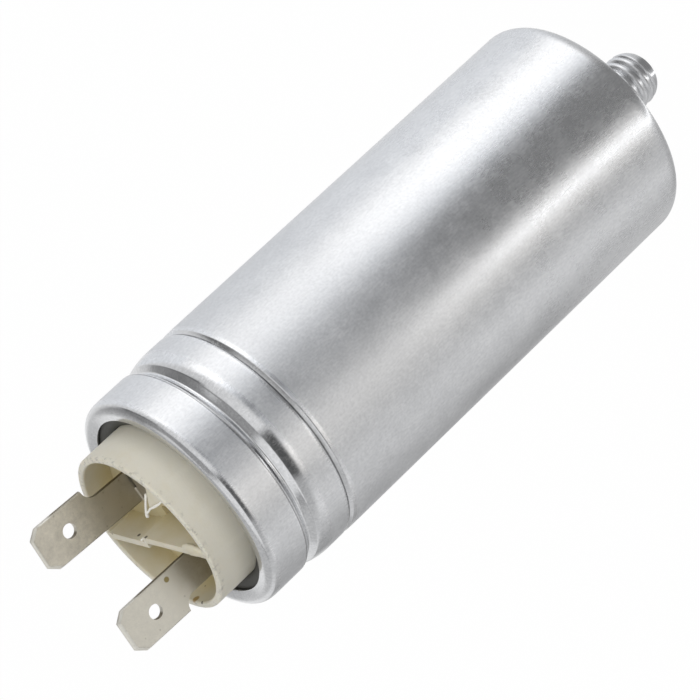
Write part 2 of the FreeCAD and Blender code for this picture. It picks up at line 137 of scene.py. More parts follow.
def aluminium_extruded(colour):
    """Impact-extruded aluminium, wiped but not polished: a satin metal, finely mottled, with short
    handling scratches in all directions, and the two rolled grooves burnished by their wheels."""
    material, tree = new_material("aluminium_impact_extruded")
    place = node(tree, "ShaderNodeTexCoord").outputs["Object"]
    # mottle of the etched skin, grains of 0.4 mm
    mottle = node(tree, "ShaderNodeTexNoise", {"Scale": scale_for(0.3846), "Detail": 2.0, "Roughness": 0.6},
                  {"Vector": place})
    # soft cloudiness of the wiped surface, patches of 2 to 6 mm
    cloud = node(tree, "ShaderNodeTexNoise", {"Scale": scale_for(4.1667), "Detail": 4.0, "Roughness": 0.6},
                 {"Vector": place})
    # scratches under 0.2 mm wide and about 1 mm long, laid six ways; real ones are finer
    total = None
    for tilt, turn, shift in ((40, 10, 0.0), (-50, -25, 7.3), (85, 35, 3.1),
                              (15, 60, 5.7), (-20, 40, 1.9), (65, -50, 9.4)):
        lay = node(tree, "ShaderNodeMapping",
                   {"Rotation": (math.radians(turn), math.radians(tilt), math.radians(turn)),
                    "Location": (shift, 0, 0),
                    "Scale": (scale_for(0.1923), scale_for(0.1923), scale_for(1.1111))}, {"Vector": place})
        hair = node(tree, "ShaderNodeTexNoise", {"Scale": 1.0, "Detail": 0.0}, {"Vector": lay})
        line = node(tree, "ShaderNodeMapRange", {"From Min": 0.66, "From Max": 0.76}, {"Value": hair})
        total = line if total is None else node(tree, "ShaderNodeMath", {"operation": "MAXIMUM"},
                                                {0: total, 1: line})
    patch = node(tree, "ShaderNodeMapRange", {"From Min": 0.3, "From Max": 0.6, "To Min": 0.25},
                 {"Value": cloud})
    scratches = node(tree, "ShaderNodeMath", {"operation": "MULTIPLY"}, {0: total, 1: patch})
    height = node(tree, "ShaderNodeSeparateXYZ", links={"Vector": place}).outputs["Z"]
    # the wall grows more matt towards the terminals, and the wheels left the grooves and the lip smoother:
    # heights above the mounting face in millimetres, and roughness
    full = 84.0
    bands = ((0.0, 0.27), (26.88, 0.27), (40.32, 0.33), (52.08, 0.41), (65.6, 0.42), (65.94, 0.2),
             (67.45, 0.2), (67.79, 0.34), (70.39, 0.36), (70.81, 0.13), (74.59, 0.13), (75.18, 0.34),
             (79.38, 0.34), (80.05, 0.18))
    level = node(tree, "ShaderNodeMapRange", {"From Max": full * MM}, {"Value": height})
    burnish = node(tree, "ShaderNodeValToRGB", {"stops": [(spot / full, rough) for spot, rough in bands]},
                   {"Fac": level})
    uneven = node(tree, "ShaderNodeMapRange",
                  {"From Min": 0.3, "From Max": 0.7, "To Min": -0.02, "To Max": 0.025}, {"Value": cloud})
    rough = node(tree, "ShaderNodeMath", {"operation": "ADD"}, {0: burnish, 1: uneven})
    rough = node(tree, "ShaderNodeMath", {"operation": "MULTIPLY_ADD", 1: 0.06}, {0: scratches, 2: rough})
    mixed = node(tree, "ShaderNodeMath", {"operation": "MULTIPLY_ADD", 1: 0.6}, {0: cloud, 2: mottle})
    grey = node(tree, "ShaderNodeMapRange", {"From Min": 0.55, "From Max": 1.05}, {"Value": mixed})
    tone = node(tree, "ShaderNodeMix", {"data_type": "RGBA", 6: toned(colour, 0.88), 7: toned(colour, 1.06)},
                {0: grey})
    faint = node(tree, "ShaderNodeMath", {"operation": "MULTIPLY", 1: 0.25}, {0: scratches})
    tone = node(tree, "ShaderNodeMix", {"data_type": "RGBA", 7: linear("#F9F9F9")}, {0: faint, 6: tone})
    # painted shade of the crevices, 0.2 mm wide, in the bottom of the score and at the upper edge of the
    # groove
    for below_lip, reach, share in ((14.2, 0.13, 0.8), (6.42, 0.12, 0.5)):
        off = node(tree, "ShaderNodeMath", {"operation": "SUBTRACT", 1: CAN_HIGH.z - below_lip * MM},
                   {0: height})
        off = node(tree, "ShaderNodeMath", {"operation": "ABSOLUTE"}, {0: off})
        painted_crease_shade = node(tree, "ShaderNodeMapRange",
                    {"From Min": reach * MM, "From Max": reach * 0.4 * MM, "To Max": share}, {"Value": off})
        tone = node(tree, "ShaderNodeMix", {"data_type": "RGBA", 7: linear("#2E2E30")}, {0: painted_crease_shade, 6: tone})
    relief = node(tree, "ShaderNodeMath", {"operation": "MULTIPLY_ADD", 1: 0.8}, {0: scratches, 2: mottle})
    # the wheels also pressed the mottle flat
    texture = node(tree, "ShaderNodeMapRange",
                   {"From Min": 0.14, "From Max": 0.3, "To Min": 0.02, "To Max": 0.13}, {"Value": burnish})
    bump = node(tree, "ShaderNodeBump", {"Distance": 0.00003}, {"Strength": texture, "Height": relief})
    metal = node(tree, "ShaderNodeBsdfPrincipled", {"Metallic": 1.0},
                 {"Base Color": tone, "Roughness": rough, "Normal": bump})
    node(tree, "ShaderNodeOutputMaterial", links={"Surface": metal})
    return material


def thread_rolled(colour):
    """The stud, the same aluminium pressed between rolls: smooth and bright, its roughness varied by faint
    smeared marks.
    """
    material, tree = new_material("aluminium_rolled_thread")
    place = node(tree, "ShaderNodeTexCoord").outputs["Object"]
    smear = node(tree, "ShaderNodeMapping",
                 {"Scale": (scale_for(1.1111), scale_for(1.1111), scale_for(0.4))}, {"Vector": place})
    marks = node(tree, "ShaderNodeTexNoise", {"Scale": 1.0, "Detail": 3.0}, {"Vector": smear})
    rough = node(tree, "ShaderNodeMapRange",
                 {"From Min": 0.3, "From Max": 0.7, "To Min": 0.26, "To Max": 0.36}, {"Value": marks})
    bump = node(tree, "ShaderNodeBump", {"Strength": 0.1, "Distance": 0.00003}, {"Height": marks})
    metal = node(tree, "ShaderNodeBsdfPrincipled",
                 {"Metallic": 1.0, "Base Color": toned(colour, 0.97)}, {"Roughness": rough, "Normal": bump})
    node(tree, "ShaderNodeOutputMaterial", links={"Surface": metal})
    return material


def polyester_moulded(outside, inside):
    """Thermoplastic polyester, injection moulded and left plain: matt ivory, painted deeper and more olive
    down in the cup for its shade, its warm reflected light and some grime, greyer outside near the lip as
    painted shade, with dark specks of burnt resin and a spot of flux by one tab."""
    material, tree = new_material("polyester_moulded_ivory")
    place = node(tree, "ShaderNodeTexCoord").outputs["Object"]
    split = node(tree, "ShaderNodeSeparateXYZ", links={"Vector": place})
    flat = node(tree, "ShaderNodeCombineXYZ", links={"X": split.outputs["X"], "Y": split.outputs["Y"]})
    radius = node(tree, "ShaderNodeVectorMath", {"operation": "LENGTH"}, {0: flat})
    # painted shade and warm reflected light, with some grime: the moulding turns to the olive inside colour
    # with depth in the cup
    within = node(tree, "ShaderNodeMapRange",
                  {"From Min": 11.75 * MM, "From Max": 11.4 * MM, "interpolation_type": "SMOOTHSTEP"},
                  {"Value": radius})
    depth = node(tree, "ShaderNodeMapRange",
                 {"From Min": CUP_RIM - 0.05 * MM, "From Max": CUP_RIM - 4.95 * MM, "To Min": 0.3,
                  "interpolation_type": "SMOOTHSTEP"},
                 {"Value": split.outputs["Z"]})
    deep = node(tree, "ShaderNodeMath", {"operation": "MULTIPLY"}, {0: within, 1: depth})
    # cloudy colour of the moulding, patches of 2 to 3 mm
    cloud = node(tree, "ShaderNodeTexNoise", {"Scale": scale_for(2.381), "Detail": 5.0, "Roughness": 0.6},
                 {"Vector": place})
    shade = node(tree, "ShaderNodeMapRange",
                 {"From Min": 0.3, "From Max": 0.7, "To Min": -0.16, "To Max": 0.16}, {"Value": cloud})
    amount = node(tree, "ShaderNodeMath", {"operation": "ADD", "use_clamp": True}, {0: deep, 1: shade})
    tone = node(tree, "ShaderNodeMix", {"data_type": "RGBA", 6: outside, 7: inside}, {0: amount})
    # painted shade: the outside is greyer low down, near the lip, where the lip shades it
    painted_lip_shade = node(tree, "ShaderNodeMapRange",
                  {"From Min": CUP_RIM - 2.35 * MM, "From Max": CUP_RIM - 5.35 * MM, "To Max": 0.6,
                   "interpolation_type": "SMOOTHSTEP"},
                  {"Value": split.outputs["Z"]})
    without = node(tree, "ShaderNodeMath", {"operation": "SUBTRACT", 0: 1.0}, {1: within})
    painted_lip_shade = node(tree, "ShaderNodeMath", {"operation": "MULTIPLY"}, {0: painted_lip_shade, 1: without})
    tone = node(tree, "ShaderNodeMix", {"data_type": "RGBA", 7: linear("#BAB6A7")}, {0: painted_lip_shade, 6: tone})
    # specks of burnt resin, 0.3 mm across with a soft edge
    cells = node(tree, "ShaderNodeTexVoronoi", {"Scale": scale_for(1.6129)}, {"Vector": place})
    speck = node(tree, "ShaderNodeMapRange", {"From Min": 0.12, "From Max": 0.07},
                 {"Value": cells.outputs["Distance"]})
    chosen = node(tree, "ShaderNodeSeparateColor", links={"Color": cells.outputs["Color"]})
    few = node(tree, "ShaderNodeMath", {"operation": "GREATER_THAN", 1: 0.975}, {0: chosen})
    speck = node(tree, "ShaderNodeMath", {"operation": "MULTIPLY"}, {0: speck, 1: few})
    tone = node(tree, "ShaderNodeMix", {"data_type": "RGBA", 7: linear("#6A6252")}, {0: speck, 6: tone})
    # grey scuffs along the edge of the rim, 0.3 to 1 mm long
    rub = node(tree, "ShaderNodeTexNoise", {"Scale": scale_for(0.7692), "Detail": 5.0, "Roughness": 0.75},
               {"Vector": place})
    scuffs_and_tip_highlight = node(tree, "ShaderNodeMapRange", {"From Min": 0.52, "From Max": 0.64}, {"Value": rub})
    edge = node(tree, "ShaderNodeMapRange",
                {"From Min": CUP_RIM - 0.95 * MM, "From Max": CUP_RIM - 0.35 * MM},
                {"Value": split.outputs["Z"]})
    ring = node(tree, "ShaderNodeMapRange", {"From Min": 11.4 * MM, "From Max": 11.7 * MM},
                {"Value": radius})
    scuff = node(tree, "ShaderNodeMath", {"operation": "MULTIPLY"}, {0: edge, 1: ring})
    scuff = node(tree, "ShaderNodeMath", {"operation": "MULTIPLY"}, {0: scuff, 1: scuffs_and_tip_highlight})
    scuff = node(tree, "ShaderNodeMath", {"operation": "MULTIPLY", 1: 0.5}, {0: scuff})
    tone = node(tree, "ShaderNodeMix", {"data_type": "RGBA", 7: linear("#7C7B79")}, {0: scuff, 6: tone})
    # a spot of amber flux on the far wall by tab 2, a dark bead of it beside, and two spots of painted shadow
    # in the gaps at the
    # jog: colour, place and radius
    for code, middle, size in (("#9A7C3E", (-0.01012, 0.00523, 0.08564), 0.0005),
                               ("#2A241A", (-0.01095, 0.0034, 0.08604), 0.00022),
                               ("#2E2A24", (0.00073, 0.00536, 0.0853), 0.00026),
                               ("#3A352C", (-0.00007, 0.00206, 0.08595), 0.00024)):
        stain_and_gap_shade = round_mark(tree, place, middle, size * 1.25, size * 0.75, 0.9)
        tone = node(tree, "ShaderNodeMix", {"data_type": "RGBA", 7: linear(code)}, {0: stain_and_gap_shade, 6: tone})
    grain = node(tree, "ShaderNodeTexNoise", {"Scale": scale_for(0.3846), "Detail": 2.0}, {"Vector": place})
    bump = node(tree, "ShaderNodeBump", {"Strength": 0.25, "Distance": 0.00006}, {"Height": grain})
    plastic = node(tree, "ShaderNodeBsdfPrincipled",
                   {"Roughness": 0.48, "IOR": 1.55, "Subsurface Weight": 0.12,
                    "Subsurface Radius": (0.0012, 0.0009, 0.0005), "Subsurface Scale": 1.0},
                   {"Base Color": tone, "Normal": bump})
    node(tree, "ShaderNodeOutputMaterial", links={"Surface": plastic})
    return material


def brass_tinned(colour, stain_and_shade_colour):
    """Brass strip, tin plated before stamping: a dull warm grey metal, cloudy, with brown staining that
    creeps up from the root and also paints the shade down in the cup, bare tarnished brass on the punched
    edges, and a painted highlight on the lead-in round the tip."""
    material, tree = new_material("brass_strip_tinned")
    spot = node(tree, "ShaderNodeTexCoord")
    place = spot.outputs["Object"]
    cloud = node(tree, "ShaderNodeTexNoise", {"Scale": scale_for(1.4286), "Detail": 8.0, "Roughness": 0.78},
                 {"Vector": place})
    split = node(tree, "ShaderNodeSeparateXYZ", links={"Vector": place})
    height = split.outputs["Z"]
    # brown staining that creeps up from the root, blotched by the cloud, also stands for painted shade down
    # in the cup
    low = node(tree, "ShaderNodeMapRange",
               {"From Min": CUP_RIM + 6.35 * MM, "From Max": CUP_RIM - 1.65 * MM, "To Max": 0.75},
               {"Value": height})
    root_stain_and_shade = node(tree, "ShaderNodeMath", {"operation": "MULTIPLY"}, {0: low, 1: cloud})
    amount = node(tree, "ShaderNodeMapRange", {"From Min": 0.05, "From Max": 0.6, "To Max": 0.8},
                  {"Value": root_stain_and_shade})
    shade = node(tree, "ShaderNodeMapRange", {"From Min": 0.3, "From Max": 0.7}, {"Value": cloud})
    tone = node(tree, "ShaderNodeMix", {"data_type": "RGBA", 6: toned(colour, 0.74), 7: toned(colour, 1.2)},
                {0: shade})
    # the plating of tab 2, on the -X side, is the cleaner
    cleaner = node(tree, "ShaderNodeMapRange", {"From Min": 1.0 * MM, "From Max": -3.0 * MM, "To Max": 0.55},
                   {"Value": split.outputs["X"]})
    clean = node(tree, "ShaderNodeMix", {"data_type": "RGBA", 7: linear("#DAD8CF")}, {0: cleaner, 6: tone})
    tone = node(tree, "ShaderNodeMix", {"data_type": "RGBA", 7: stain_and_shade_colour}, {0: amount, 6: clean})
    # dark specks in the plating, 0.15 mm across with a soft edge
    cells = node(tree, "ShaderNodeTexVoronoi", {"Scale": scale_for(1.25)}, {"Vector": place})
    pit = node(tree, "ShaderNodeMapRange", {"From Min": 0.14, "From Max": 0.06, "To Max": 0.3},
               {"Value": cells.outputs["Distance"]})
    tone = node(tree, "ShaderNodeMix", {"data_type": "RGBA", 7: linear("#6E6656")}, {0: pit, 6: tone})
    # an olive fleck of flux on the face of tab 2, 0.7 mm across
    fleck = round_mark(tree, place, (-0.00568, -0.00257, 0.08943), 0.44 * MM, 0.3 * MM, 0.85)
    tone = node(tree, "ShaderNodeMix", {"data_type": "RGBA", 7: linear("#8A7A3E")}, {0: fleck, 6: tone})
    # the punched edges face along the width of the blade
    facing = node(tree, "ShaderNodeVectorMath", {"operation": "DOT_PRODUCT", 1: tuple(BLADE_WIDTH)},
                  {0: spot.outputs["Normal"]})
    side = node(tree, "ShaderNodeMath", {"operation": "ABSOLUTE"}, {0: facing})
    punched = node(tree, "ShaderNodeMapRange", {"From Min": 0.6, "From Max": 0.8, "To Max": 0.85},
                   {"Value": side})
    tone = node(tree, "ShaderNodeMix", {"data_type": "RGBA", 7: linear("#5E5238")}, {0: punched, 6: tone})
    # painted highlight on the lead-in round the tip, where its slope catches the light
    front = node(tree, "ShaderNodeVectorMath", {"operation": "DOT_PRODUCT", 1: tuple(BLADE_FRONT)},
                 {0: spot.outputs["Normal"]})
    scuffs_and_tip_highlight = node(tree, "ShaderNodeMapRange", {"From Min": 0.985, "From Max": 0.95, "To Max": 0.6},
                  {"Value": front})
    high = node(tree, "ShaderNodeMapRange",
                {"From Min": BLADE_TIP - 4.58 * MM, "From Max": BLADE_TIP - 3.58 * MM}, {"Value": height})
    scuffs_and_tip_highlight = node(tree, "ShaderNodeMath", {"operation": "MULTIPLY"}, {0: scuffs_and_tip_highlight, 1: high})
    tone = node(tree, "ShaderNodeMix", {"data_type": "RGBA", 7: linear("#F4F2EA")}, {0: scuffs_and_tip_highlight, 6: tone})
    rough = node(tree, "ShaderNodeMapRange",
                 {"From Min": 0.3, "From Max": 0.7, "To Min": 0.4, "To Max": 0.52}, {"Value": cloud})
    lines = node(tree, "ShaderNodeMapping",
                 {"Scale": (scale_for(3.3333), scale_for(3.3333), scale_for(0.2222))}, {"Vector": place})
    rolled = node(tree, "ShaderNodeTexNoise", {"Scale": 1.0, "Detail": 3.0}, {"Vector": lines})
    bump = node(tree, "ShaderNodeBump", {"Strength": 0.15, "Distance": 0.00003}, {"Height": rolled})
    metal = node(tree, "ShaderNodeBsdfPrincipled", {"Metallic": 0.9},
                 {"Base Color": tone, "Roughness": rough, "Normal": bump})
    node(tree, "ShaderNodeOutputMaterial", links={"Surface": metal})
    return material


def plain_finish(name, code, metallic, rough, grain_mm, depth_mm, spread=0.12):
    """A single-colour finish with a grain of the given size, for the small and hidden pieces."""
    material, tree = new_material(name)
    place = node(tree, "ShaderNodeTexCoord").outputs["Object"]
    grain = node(tree, "ShaderNodeTexNoise", {"Scale": scale_for(grain_mm), "Detail": 3.0}, {"Vector": place})
    colour = linear(code)
    tone = node(tree, "ShaderNodeMix",
                {"data_type": "RGBA", 6: toned(colour, 1 - spread), 7: toned(colour, 1 + spread)},
                {0: grain})
    bump = node(tree, "ShaderNodeBump", {"Strength": 0.3, "Distance": depth_mm * MM}, {"Height": grain})
    shader = node(tree, "ShaderNodeBsdfPrincipled", {"Metallic": metallic, "Roughness": rough},
                  {"Base Color": tone, "Normal": bump})
    node(tree, "ShaderNodeOutputMaterial", links={"Surface": shader})
    return material


def place_piece(shape, name, material, replaced=None, sharp=40):
    """Writes a bmesh in millimetres to an object at the origin that rides on the body."""
    bmesh.ops.scale(shape, vec=(MM, MM, MM), verts=shape.verts)
    mesh = bpy.data.meshes.new(name)
    shape.to_mesh(mesh)
    shape.free()
    for face in mesh.polygons:
        face.use_smooth = True
    mesh.set_sharp_from_angle(angle=math.radians(sharp))
    piece = bpy.data.objects.new(name, mesh)
    bpy.context.scene.collection.objects.link(piece)
    mesh.materials.append(material)
    evened = piece.modifiers.new("even_normals", "WEIGHTED_NORMAL")
    evened.keep_sharp = True
    evened.weight = 60
    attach(piece, "root")
    if replaced:
        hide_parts(replaced)


def dress(name, material):
    """Gives a carried-over CAD node its material."""
    piece = frame["nodes"][name]
    piece.data.materials.clear()
    piece.data.materials.append(material)


def spun(corners, steps):
    """A shell from (radius, height, rounding, segments) corners, spun once round the can axis."""
    shell = bmesh.new()
    spots = [shell.verts.new((corner[0], 0, corner[1])) for corner in corners]
    for first, second in zip(spots, spots[1:]):
        shell.edges.new((first, second))
    for spot, corner in zip(spots, corners):
        rounding, segments = corner[2:]
        if rounding:
            bmesh.ops.bevel(shell, geom=[spot], offset=rounding, offset_type="OFFSET", segments=segments,
                            profile=0.5, affect="VERTICES", material=-1, clamp_overlap=False)
    bmesh.ops.spin(shell, geom=shell.verts[:] + shell.edges[:], cent=(0, 0, 0), axis=(0, 0, 1),
                   dvec=(0, 0, 0), angle=math.tau, steps=steps, use_merge=True)
    bmesh.ops.remove_doubles(shell, verts=shell.verts, dist=0.0005)
    bmesh.ops.recalc_face_normals(shell, faces=shell.faces)
    return shell


def merged_copy(name):
    """A copy of a CAD node's mesh in millimetres, its loose triangles merged into flat faces."""
    copy = bmesh.new()
    copy.from_mesh(frame["nodes"][name].data)
    bmesh.ops.scale(copy, vec=(1 / MM, 1 / MM, 1 / MM), verts=copy.verts)
    bmesh.ops.remove_doubles(copy, verts=copy.verts, dist=0.001)
    bmesh.ops.dissolve_limit(copy, angle_limit=math.radians(0.5), verts=copy.verts, edges=copy.edges)
    # a face with a hole in it shades badly, so the flat ring under the seal is cut up again
    seat = 78.5
    rings = [face for face in copy.faces if len(face.verts) > 5 and face.calc_center_median().z < seat]
    bmesh.ops.triangulate(copy, faces=rings)
    return copy


def taper_tip(blade, tip, along, width):
    """Thins a blade towards the outline of its tip, over the given width in millimetres."""
    half_tip = 2.1
    reach = 3.0
    thinning = 0.4
    across = along.cross(BLADE_FRONT)
    # outward normals of the tip's three straight edges, and a point on each
    slant = Vector((1.3, 1.05)).normalized()
    edges = [(along, tip)]
    for side in (1, -1):
        edges.append((across * side * slant.x + along * slant.y, tip + across * side * half_tip))
    for normal, spot in edges:
        bmesh.ops.bisect_plane(blade, geom=blade.verts[:] + blade.edges[:] + blade.faces[:], dist=1e-4,
                               plane_co=spot - normal * width, plane_no=normal)
    for vert in blade.verts:
        if vert.co.z < tip.z - reach:
            continue
        depth = min((spot - vert.co).dot(normal) for normal, spot in edges)
        if depth < width:
            off = (vert.co - tip).dot(BLADE_FRONT)
            vert.co -= BLADE_FRONT * off * (thinning * (1 - max(depth, 0) / width))


LENGTH = {"precision": 5, "unit": "LENGTH", "subtype": "DISTANCE"}
COLOUR = {"subtype": "COLOR", "size": 4, "min": 0, "max": 1}


class CanSizes(bpy.types.PropertyGroup):
    """Sizes and colour of the can and its stud."""
    diameter: bpy.props.FloatProperty(
        name="Can diameter", description="Across the plain wall of the can",
        default=CAN_HIGH.x - CAN_LOW.x, **LENGTH)
    height: bpy.props.FloatProperty(
        name="Can height", description="From the mounting face to the top of the curled lip",
        default=CAN_HIGH.z, **LENGTH)
    stud_diameter: bpy.props.FloatProperty(
        name="Stud diameter", description="Over the crests of the thread",
        default=2 * MOUNTS["stud"]["dims"]["r_mm"] * MM, **LENGTH)
    stud_length: bpy.props.FloatProperty(
        name="Stud length", description="From the mounting face to the tip", default=-CAN_LOW.z, **LENGTH)
    pitch: bpy.props.FloatProperty(
        name="Thread pitch", description="Distance between neighbouring crests", default=0.00125, **LENGTH)
    colour: bpy.props.FloatVectorProperty(
        name="Aluminium", description="Colour of the bare aluminium", default=linear("#D9DADC"), **COLOUR)


class DeckSizes(bpy.types.PropertyGroup):
    """Sizes and colours of the terminal deck, its ring and tabs."""
    edge: bpy.props.FloatProperty(
        name="Moulded edge", description="Rounding of the edges of the moulding", default=0.00016, **LENGTH)
    lead_in: bpy.props.FloatProperty(
        name="Lead-in", description="Width of the shallow lead-in round the tip of a blade",
        default=0.00045, **LENGTH)
    ring_bulge: bpy.props.FloatProperty(
        name="Ring bulge", description="How far the squeezed rubber stands up inside the lip",
        default=0.0001, **LENGTH)
    outside: bpy.props.FloatVectorProperty(
        name="Ivory", description="Colour of the moulding outside", default=linear("#D8D4C6"), **COLOUR)
    # the olive stands partly for painted shade and warm reflected light down in the cup
    inside: bpy.props.FloatVectorProperty(
        name="Olive ivory", description="Colour of the moulding down in the cup",
        default=linear("#C8BC95"), **COLOUR)
    tin: bpy.props.FloatVectorProperty(
        name="Tin", description="Colour of the tinned tabs", default=linear("#DCD7CA"), **COLOUR)
    # the staining at the roots also stands for painted shade down in the cup
    stain_and_shade: bpy.props.FloatVectorProperty(
        name="Stain", description="Colour of the staining at the roots of the tabs",
        default=linear("#7C7158"), **COLOUR)


class StudioSettings(bpy.types.PropertyGroup):
    """Levels of the soft light and of the light tent."""
    key_power: bpy.props.FloatProperty(
        name="Key light", description="Power of the one large soft light", default=1.1, unit="POWER")
    world_level: bpy.props.FloatProperty(
        name="Tent level", description="Brightness of the light tent", default=1.0, min=0)


class CAPACITOR_OT_can(bpy.types.Operator):
    """Spin the can with its base, score line, deep groove and curled lip"""
    bl_idname = "capacitor.can"
    bl_label = "Can"

    def execute(self, context):
        sizes = context.scene.capacitor_can
        wall = sizes.diameter / 2 / MM
        top = sizes.height / MM
        stud = sizes.stud_diameter / 2 / MM
        lip = wall - 0.45
        neck = wall - 0.05
        thick = 0.5
        base = 1.5
        corners = [
            # the base, from inside the root of the stud, and the wall
            (0.0, -0.6, 0, 0),
            (stud - 0.5, -0.6, 0, 0),
            (stud - 0.1, -0.45, 0, 0),
            (stud, 0.0, 0.3, 4),
            (wall - 3.2, 0.0, 0, 0),
            (wall, 0.0, 2.8, 14),
            (wall, 3.2, 0, 0),
            # the score line
            (wall, top - 16.0, 0, 0),
            (wall, top - 15.3, 0.3, 4),
            (wall - 0.04, top - 14.8, 0.08, 3),
            (wall - 0.35, top - 14.2, 0.12, 3),
            (neck, top - 13.9, 0.18, 4),
            (neck, top - 13.4, 0, 0),
            # the deep groove, with a long shoulder below it
            (neck, top - 12.3, 0, 0),
            (neck, top - 9.63, 1.2, 14),
            (lip - 0.04, top - 8.45, 0.12, 4),
            (lip - 0.95, top - 7.58, 0.4, 8),
            (lip, top - 6.62, 0.2, 5),
            (lip, top - 5.9, 0, 0),
            # the lip band and its curl over the ring
            (lip, top - 2.2, 0, 0),
            (lip, top - 1.14, 0.45, 7),
            (lip - 0.415, top, 0.74, 10),
            (lip - 1.5, top - 0.02, 0, 0),
            (lip - 2.3, top - 0.24, 0, 0),
            (lip - 2.55, top - 0.30, 0.1, 3),
            (lip - 2.55, top - 0.70, 0.15, 3),
            (lip - 1.3, top - 0.56, 0.3, 3),
            # the inside, down to the base
            (lip - thick, top - 1.2, 0, 0),
            (lip - thick, top - 6.4, 0, 0),
            (lip - 1.2, top - 7.7, 0, 0),
            (lip - thick, top - 9.0, 0, 0),
            (neck - thick, top - 12.3, 0, 0),
            (wall - 0.85, top - 14.2, 0, 0),
            (wall - thick, top - 14.85, 0, 0),
            (wall - thick, base, 2.0, 6),
            (0.0, base, 0, 0),
        ]
        metal = aluminium_extruded(tuple(sizes.colour))
        place_piece(spun(corners, 240), "can_shell", metal, "can", sharp=50)
        return {"FINISHED"}


class CAPACITOR_OT_stud(bpy.types.Operator):
    """Roll the thread of the mounting stud and round its tip"""
    bl_idname = "capacitor.stud"
    bl_label = "Threaded stud"

    def execute(self, context):
        sizes = context.scene.capacitor_can
        inset = 0.02
        crest = sizes.stud_diameter / 2 / MM - inset
        length = sizes.stud_length / MM
        pitch = sizes.pitch / MM
        depth = 0.3
        slices = 12
        tip_length = 3.0
        tip_drop = 2.3
        run_out = 1.4
        run_out_slope = 0.35
        upper_end = -0.3
        # one tooth: a rounded crest between sharp roots
        tooth = []
        for share in range(slices + 1):
            rise = math.sin(math.pi * share / slices)
            tooth.append((crest - depth * (1 - rise), pitch * share / slices))
        # the thread is made longer at both ends and then cut to length
        spare = 2
        screw = bmesh.new()
        start = -length - spare * pitch
        spots = [screw.verts.new((radius, 0, start + height)) for radius, height in tooth]
        for first, second in zip(spots, spots[1:]):
            screw.edges.new((first, second))
        turns = math.ceil(length / pitch) + 2 * spare
        steps = 64
        bmesh.ops.spin(screw, geom=screw.verts[:] + screw.edges[:], cent=(0, 0, 0), axis=(0, 0, 1),
                       dvec=(0, 0, pitch / steps), angle=math.tau * turns, steps=steps * turns)
        bmesh.ops.remove_doubles(screw, verts=screw.verts, dist=0.002)
        for height, below in ((-length, True), (upper_end, False)):
            bmesh.ops.bisect_plane(screw, geom=screw.verts[:] + screw.edges[:] + screw.faces[:], dist=1e-5,
                                   plane_co=(0, 0, height), plane_no=(0, 0, 1),
                                   clear_inner=below, clear_outer=not below)
        rims = [edge for edge in screw.edges if edge.is_boundary]
        bmesh.ops.holes_fill(screw, edges=rims, sides=0)
        # the round of the tip and the run-out under the base cut the crests down
        for spot in screw.verts:
            radius = math.hypot(spot.co.x, spot.co.y)
            rise = min(1.0, (spot.co.z + length) / tip_length)
            limit = crest - tip_drop * (1 - math.sqrt(max(0.0, 1 - (1 - rise) ** 2)))
            if spot.co.z > -run_out:
                limit = min(limit, crest - (spot.co.z + run_out) * run_out_slope)
            if radius > limit:
                spot.co.x *= limit / radius
                spot.co.y *= limit / radius
        bmesh.ops.recalc_face_normals(screw, faces=screw.faces)
        metal = thread_rolled(tuple(sizes.colour))
        place_piece(screw, "threaded_stud", metal, None, sharp=50)
        return {"FINISHED"}


def weld_lump():
    """The lump where the near half of the partition was closed onto the rim, in millimetres."""
    half_sizes = (2.5, 0.9, 0.5)
    middle = (-5.3, -7.7, 86.0)
    turn = Matrix.Rotation(math.radians(62), 3, "Z")
    unevenness = 0.14
    waves = 2.6
    lump = bmesh.new()
    bmesh.ops.create_icosphere(lump, subdivisions=4, radius=1.0)
    bmesh.ops.scale(lump, vec=half_sizes, verts=lump.verts)
    for spot in lump.verts:
        spot.co += spot.normal * unevenness * noise.noise(spot.co * waves)
    bmesh.ops.rotate(lump, cent=(0, 0, 0), matrix=turn, verts=lump.verts)
    bmesh.ops.translate(lump, vec=middle, verts=lump.verts)
    return lump


def flash_loop():
    """A thread of flash that hangs from the rim in a loop, and burrs on the jog, in millimetres."""
    # the two legs of the loop, each a row of places and the thread's radius there
    legs = ([((3.75, -8.9, 86.02), 0.15), ((3.2, -7.6, 86.1), 0.16), ((2.5, -6.0, 86.2), 0.19),
             ((1.95, -4.9, 86.2), 0.25), ((1.7, -4.4, 86.15), 0.27), ((1.55, -4.15, 86.1), 0.12)],
            [((1.95, -5.4, 86.2), 0.12), ((2.1, -6.95, 86.12), 0.16), ((1.89, -8.65, 86.1), 0.19),
             ((1.77, -10.2, 86.05), 0.16), ((1.77, -11.2, 86.0), 0.14)])
    # the place and the half sizes of each burr
    burrs = (((0.02, 3.9, 85.98), (0.18, 0.5, 0.16)), ((-0.5, 3.1, 86.02), (0.3, 0.22, 0.14)))
    flash = bmesh.new()
    for leg in legs:
        loops = []
        for spot, radius in leg:
            ring = bmesh.ops.create_circle(flash, segments=10, radius=radius)["verts"]
            bmesh.ops.rotate(flash, cent=(0, 0, 0), matrix=Matrix.Rotation(math.radians(90), 3, "X"),
                             verts=ring)
            bmesh.ops.translate(flash, vec=spot, verts=ring)
            loops.append([edge for edge in flash.edges if edge.verts[0] in ring and edge.verts[1] in ring])
        for first, second in zip(loops, loops[1:]):
            bmesh.ops.bridge_loops(flash, edges=first + second)
        bmesh.ops.holes_fill(flash, edges=loops[0] + loops[-1], sides=0)
    for spot, size in burrs:
        burr = bmesh.ops.create_icosphere(flash, subdivisions=3, radius=1.0)["verts"]
        bmesh.ops.scale(flash, vec=size, verts=burr)
        bmesh.ops.translate(flash, vec=spot, verts=burr)
    bmesh.ops.recalc_face_normals(flash, faces=flash.faces)
    return flash


